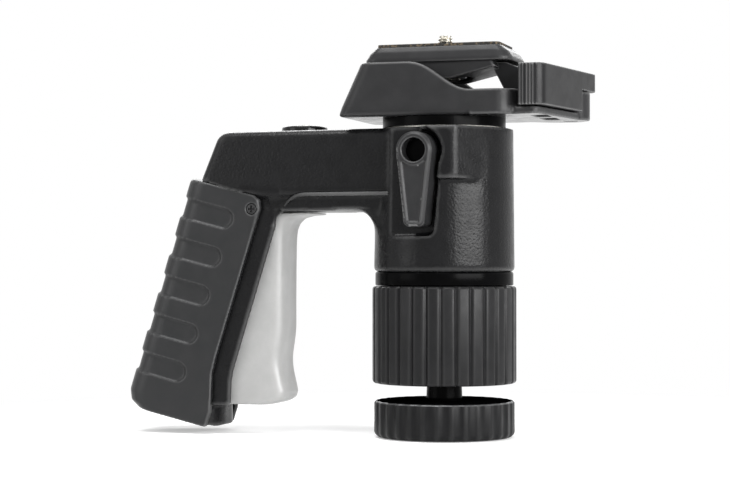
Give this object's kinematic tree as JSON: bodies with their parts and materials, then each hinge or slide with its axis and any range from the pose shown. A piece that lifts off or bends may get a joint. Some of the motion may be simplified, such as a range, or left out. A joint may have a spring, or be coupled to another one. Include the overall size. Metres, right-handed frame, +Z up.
{
  "type": "tripod head",
  "caption": "Squeeze grip tripod ball head with a leaning pistol handle, a pale trigger, a fluted friction ring and a quick-release camera plate",
  "frame": {"origin": "centre of the base disc's underside, at the mouth of the tripod thread", "axes": "+Z up through the ball and the camera screw, +X from the handle towards the barrel, +Y away from the lock lever's side"},
  "size_m": [0.2004, 0.073, 0.1712],
  "materials": {
    "crinkle_paint": "fine crinkle black paint on an aluminium casting",
    "black_paint": "satin black paint on aluminium",
    "black_anodised": "black anodised, smooth",
    "ring_plastic": "matte moulded black",
    "grip_rubber": "soft matte rubber",
    "pale_plastic": "pale grey satin plastic",
    "gloss_black": "glossy black",
    "vial_acrylic": "clear dome over dark liquid",
    "white_nylon": "plain nylon",
    "plain_steel": "plain zinc steel",
    "dark_steel": "blackened steel",
    "spring_steel": "plain spring wire",
    "bare_aluminium": "turned aluminium",
    "brass": "plain brass",
    "cork_rubber": "cork and rubber, speckled"
  },
  "bodies": {
    "base": {"base_disc": "black_anodised", "thread_insert": "brass", "ball_stud": "black_anodised"},
    "lower_seat": {"lower_ball_seat": "white_nylon"},
    "upper_seat": {"upper_ball_seat": "white_nylon"},
    "head_body": {"thread_sleeve": "black_anodised", "body_casting": "crinkle_paint", "grip_cover": "grip_rubber", "cover_screws": "dark_steel", "trigger_pin": "plain_steel", "main_spring": "spring_steel", "level_housing": "gloss_black", "level_vial": "vial_acrylic"},
    "ring": {"friction_ring": "ring_plastic"},
    "squeeze_trigger": {"trigger": "pale_plastic"},
    "wedge": {"release_wedge": "plain_steel"},
    "piston": {"clamp_piston": "bare_aluminium", "lift_block": "plain_steel", "lift_nut": "plain_steel"},
    "pan_lever": {"lock_lever": "black_paint", "lock_screw": "dark_steel"},
    "brake": {"brake_pad": "brass"},
    "platform": {"pan_disc": "white_nylon", "turntable": "black_anodised", "retaining_washer": "plain_steel", "turntable_screw": "dark_steel", "clamp_base": "black_paint", "base_screws": "plain_steel", "lever_pin": "plain_steel", "lever_spring": "spring_steel", "quick_plate": "black_paint", "plate_pad": "cork_rubber"},
    "clamp_lever": {"release_lever": "black_paint"},
    "screw": {"camera_screw": "plain_steel"},
    "bail": {"screw_ring": "plain_steel"}
  },
  "joints": [
    {"name": "ball_turn", "type": "hinge", "parent": "base", "child": "lower_seat", "pos_m": [0, 0, 0.042], "axis": [0, 0, 1], "continuous": true},
    {"name": "ball_tilt_side", "type": "hinge", "parent": "lower_seat", "child": "upper_seat", "pos_m": [0, 0, 0.042], "axis": [1, 0, 0], "range_deg": [-10, 10]},
    {"name": "ball_tilt_fore", "type": "hinge", "parent": "upper_seat", "child": "head_body", "pos_m": [0, 0, 0.042], "axis": [0, 1, 0], "range_deg": [-10, 10]},
    {"name": "ring_turn", "type": "hinge", "parent": "head_body", "child": "ring", "pos_m": [0, 0, 0.042], "axis": [0, 0, 1], "range_deg": [-45, 45]},
    {"name": "trigger_squeeze", "type": "hinge", "parent": "head_body", "child": "squeeze_trigger", "pos_m": [-0.084, 0, 0.09], "axis": [0, 1, 0], "range_deg": [0, 9], "stiffness_Nm_per_rad": 6, "springref_deg": -17.19},
    {"name": "wedge_slide", "type": "slide", "parent": "head_body", "child": "wedge", "axis": [1, 0, 0], "range_m": [0, 0.0021]},
    {"name": "piston_lift", "type": "slide", "parent": "head_body", "child": "piston", "axis": [0, 0, 1], "range_m": [0, 0.00105], "deforming": ["main_spring"]},
    {"name": "lock_swing", "type": "hinge", "parent": "head_body", "child": "pan_lever", "pos_m": [-0.0033, -0.025, 0.1207], "axis": [0, 1, 0], "range_deg": [0, 70]},
    {"name": "brake_slide", "type": "slide", "parent": "head_body", "child": "brake", "axis": [0, -1, 0], "range_m": [0, 0.00025]},
    {"name": "pan", "type": "hinge", "parent": "head_body", "child": "platform", "pos_m": [0, 0, 0.131], "axis": [0, 0, 1], "continuous": true},
    {"name": "release_swing", "type": "hinge", "parent": "platform", "child": "clamp_lever", "pos_m": [0.05, 0.025, 0.15], "axis": [0, 0, 1], "range_deg": [0, 60], "stiffness_Nm_per_rad": 0.15, "springref_deg": -28.65},
    {"name": "screw_turn", "type": "hinge", "parent": "platform", "child": "screw", "pos_m": [0.0006, 0, 0.16], "axis": [0, 0, 1], "continuous": true},
    {"name": "bail_fold", "type": "hinge", "parent": "screw", "child": "bail", "pos_m": [0.0006, 0, 0.1538], "axis": [0, 1, 0], "range_deg": [0, 45]}
  ],
  "couplings": [
    {"joint": "wedge_slide", "follows": "trigger_squeeze", "m_per_rad": 0.013},
    {"joint": "piston_lift", "follows": "trigger_squeeze", "m_per_rad": 0.0065},
    {"joint": "brake_slide", "follows": "lock_swing", "m_per_rad": 0.0002}
  ]
}
